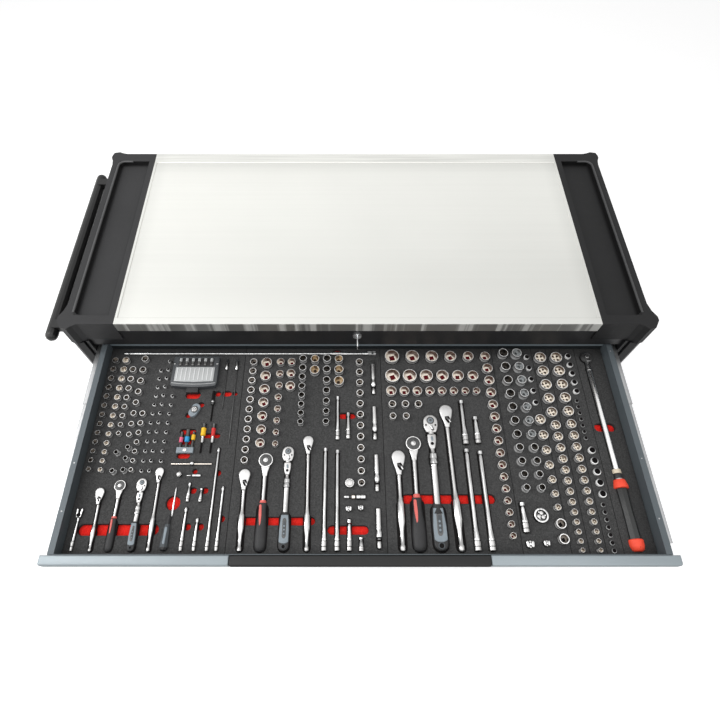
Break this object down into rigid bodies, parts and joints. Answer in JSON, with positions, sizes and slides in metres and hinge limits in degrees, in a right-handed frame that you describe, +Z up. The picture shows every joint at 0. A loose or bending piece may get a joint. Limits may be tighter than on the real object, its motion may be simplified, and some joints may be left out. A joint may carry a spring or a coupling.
{
  "type": "tool cart",
  "caption": "Six-drawer tool cart with a stainless worktop, side trays, a push bar and castors; the top drawer holds foam inlays full of sockets and ratchets.",
  "frame": {"origin": "on the floor under the centre of the box round the whole cart with its first drawer open", "axes": "+X to the right for someone facing the drawers, +Y to the back panel, +Z up"},
  "size_m": [1.3552, 1.0264, 1.01],
  "materials": {
    "worktop_steel": "fine satin stainless steel",
    "worktop_board": "plain board edge",
    "tray_plastic": "fine-grained black moulding",
    "body_paint": "smooth black powder coat",
    "bar_plastic": "satin black plastic",
    "lock_chrome": "plated, lightly worn",
    "drawer_paint": "grey metallic powder coat",
    "grip_plastic": "satin black plastic",
    "slide_zinc": "bright zinc plating",
    "foam_red": "matt red foam sheet",
    "foam_black": "speckled charcoal foam with chromed tools in it",
    "tool_chrome": "polished chrome with black and orange grips",
    "box_plastic": "smooth grey plastic",
    "castor_zinc": "zinc plating",
    "pedal_plastic": "ribbed black plastic",
    "wheel_rubber": "dark grey rubber tread on a plastic hub"
  },
  "bodies": {
    "cabinet": {"worktop": "worktop_steel", "worktop_core": "worktop_board", "left_tray": "tray_plastic", "right_tray": "tray_plastic", "top_rail": "body_paint", "left_side": "body_paint", "right_side": "body_paint", "back_panel": "body_paint", "base_pan": "body_paint", "push_bar": "bar_plastic", "push_bar_bracket_front": "bar_plastic", "push_bar_bracket_rear": "bar_plastic", "lock_barrel": "lock_chrome", "fixed_fork_front": "castor_zinc", "fixed_fork_rear": "castor_zinc"},
    "lock": {"lock_plug": "lock_chrome", "lock_key": "lock_chrome"},
    "drawer_1": {"drawer_1_box": "drawer_paint", "drawer_1_grip": "grip_plastic", "drawer_1_front": "drawer_paint", "drawer_1_runner_left": "slide_zinc", "drawer_1_runner_right": "slide_zinc", "red_foam": "foam_red", "foam_inlay_1": "foam_black", "foam_inlay_2": "foam_black", "foam_inlay_3": "foam_black", "foam_inlay_4": "foam_black", "torque_wrench": "tool_chrome", "breaker_bar": "tool_chrome", "bit_box": "box_plastic"},
    "drawer_1_mid_rails": {"drawer_1_mid_rail_left": "slide_zinc", "drawer_1_mid_rail_right": "slide_zinc"},
    "drawer_2": {"drawer_2_box": "drawer_paint", "drawer_2_grip": "grip_plastic"},
    "drawer_2_mid_rails": {"drawer_2_mid_rail_left": "slide_zinc", "drawer_2_mid_rail_right": "slide_zinc"},
    "drawer_3": {"drawer_3_box": "drawer_paint", "drawer_3_grip": "grip_plastic"},
    "drawer_3_mid_rails": {"drawer_3_mid_rail_left": "slide_zinc", "drawer_3_mid_rail_right": "slide_zinc"},
    "drawer_4": {"drawer_4_box": "drawer_paint", "drawer_4_grip": "grip_plastic"},
    "drawer_4_mid_rails": {"drawer_4_mid_rail_left": "slide_zinc", "drawer_4_mid_rail_right": "slide_zinc"},
    "drawer_5": {"drawer_5_box": "drawer_paint", "drawer_5_grip": "grip_plastic"},
    "drawer_5_mid_rails": {"drawer_5_mid_rail_left": "slide_zinc", "drawer_5_mid_rail_right": "slide_zinc"},
    "drawer_6": {"drawer_6_box": "drawer_paint", "drawer_6_grip": "grip_plastic"},
    "drawer_6_mid_rails": {"drawer_6_mid_rail_left": "slide_zinc", "drawer_6_mid_rail_right": "slide_zinc"},
    "castor_front_left": {"swivel_fork_front": "castor_zinc"},
    "wheel_front_left": {"wheel_front_left": "wheel_rubber"},
    "brake_front": {"brake_pedal_front": "pedal_plastic"},
    "wheel_front_right": {"wheel_front_right": "wheel_rubber"},
    "castor_rear_left": {"swivel_fork_rear": "castor_zinc"},
    "wheel_rear_left": {"wheel_rear_left": "wheel_rubber"},
    "brake_rear": {"brake_pedal_rear": "pedal_plastic"},
    "wheel_rear_right": {"wheel_rear_right": "wheel_rubber"}
  },
  "joints": [
    {"name": "lock_turn", "type": "hinge", "parent": "cabinet", "child": "lock", "pos_m": [0.02565, -0.03525, 0.958], "axis": [0, 1, 0], "range_deg": [0, 90]},
    {"name": "drawer_1_slide", "type": "slide", "parent": "cabinet", "child": "drawer_1", "axis": [0, 1, 0], "range_m": [0, 0.4595]},
    {"name": "drawer_1_mid_slide", "type": "slide", "parent": "cabinet", "child": "drawer_1_mid_rails", "axis": [0, 1, 0], "range_m": [0, 0.166]},
    {"name": "drawer_2_slide", "type": "slide", "parent": "cabinet", "child": "drawer_2", "axis": [0, -1, 0], "range_m": [0, 0.4595]},
    {"name": "drawer_2_mid_slide", "type": "slide", "parent": "cabinet", "child": "drawer_2_mid_rails", "axis": [0, -1, 0], "range_m": [0, 0.166]},
    {"name": "drawer_3_slide", "type": "slide", "parent": "cabinet", "child": "drawer_3", "axis": [0, -1, 0], "range_m": [0, 0.4595]},
    {"name": "drawer_3_mid_slide", "type": "slide", "parent": "cabinet", "child": "drawer_3_mid_rails", "axis": [0, -1, 0], "range_m": [0, 0.166]},
    {"name": "drawer_4_slide", "type": "slide", "parent": "cabinet", "child": "drawer_4", "axis": [0, -1, 0], "range_m": [0, 0.4595]},
    {"name": "drawer_4_mid_slide", "type": "slide", "parent": "cabinet", "child": "drawer_4_mid_rails", "axis": [0, -1, 0], "range_m": [0, 0.166]},
    {"name": "drawer_5_slide", "type": "slide", "parent": "cabinet", "child": "drawer_5", "axis": [0, -1, 0], "range_m": [0, 0.4595]},
    {"name": "drawer_5_mid_slide", "type": "slide", "parent": "cabinet", "child": "drawer_5_mid_rails", "axis": [0, -1, 0], "range_m": [0, 0.166]},
    {"name": "drawer_6_slide", "type": "slide", "parent": "cabinet", "child": "drawer_6", "axis": [0, -1, 0], "range_m": [0, 0.4595]},
    {"name": "drawer_6_mid_slide", "type": "slide", "parent": "cabinet", "child": "drawer_6_mid_rails", "axis": [0, -1, 0], "range_m": [0, 0.166]},
    {"name": "castor_front_left_swivel", "type": "hinge", "parent": "cabinet", "child": "castor_front_left", "pos_m": [-0.51185, 0.05425, 0.1487], "axis": [0, 0, 1], "continuous": true},
    {"name": "wheel_front_left_spin", "type": "hinge", "parent": "castor_front_left", "child": "wheel_front_left", "pos_m": [-0.54985, 0.05425, 0.0625], "axis": [0, 1, 0], "continuous": true},
    {"name": "brake_front_press", "type": "hinge", "parent": "castor_front_left", "child": "brake_front", "pos_m": [-0.52785, 0.05425, 0.1342], "axis": [0, -1, 0], "range_deg": [0, 6]},
    {"name": "wheel_front_right_spin", "type": "hinge", "parent": "cabinet", "child": "wheel_front_right", "pos_m": [0.56315, 0.05425, 0.0625], "axis": [0, 1, 0], "continuous": true},
    {"name": "castor_rear_left_swivel", "type": "hinge", "parent": "cabinet", "child": "castor_rear_left", "pos_m": [-0.51185, 0.38425, 0.1487], "axis": [0, 0, 1], "continuous": true},
    {"name": "wheel_rear_left_spin", "type": "hinge", "parent": "castor_rear_left", "child": "wheel_rear_left", "pos_m": [-0.54985, 0.38425, 0.0625], "axis": [0, 1, 0], "continuous": true},
    {"name": "brake_rear_press", "type": "hinge", "parent": "castor_rear_left", "child": "brake_rear", "pos_m": [-0.52785, 0.38425, 0.1342], "axis": [0, -1, 0], "range_deg": [0, 6]},
    {"name": "wheel_rear_right_spin", "type": "hinge", "parent": "cabinet", "child": "wheel_rear_right", "pos_m": [0.56315, 0.38425, 0.0625], "axis": [0, 1, 0], "continuous": true}
  ],
  "couplings": [
    {"joint": "drawer_1_mid_slide", "follows": "drawer_1_slide", "ratio": 0.36126},
    {"joint": "drawer_2_mid_slide", "follows": "drawer_2_slide", "ratio": 0.36126},
    {"joint": "drawer_3_mid_slide", "follows": "drawer_3_slide", "ratio": 0.36126},
    {"joint": "drawer_4_mid_slide", "follows": "drawer_4_slide", "ratio": 0.36126},
    {"joint": "drawer_5_mid_slide", "follows": "drawer_5_slide", "ratio": 0.36126},
    {"joint": "drawer_6_mid_slide", "follows": "drawer_6_slide", "ratio": 0.36126}
  ]
}
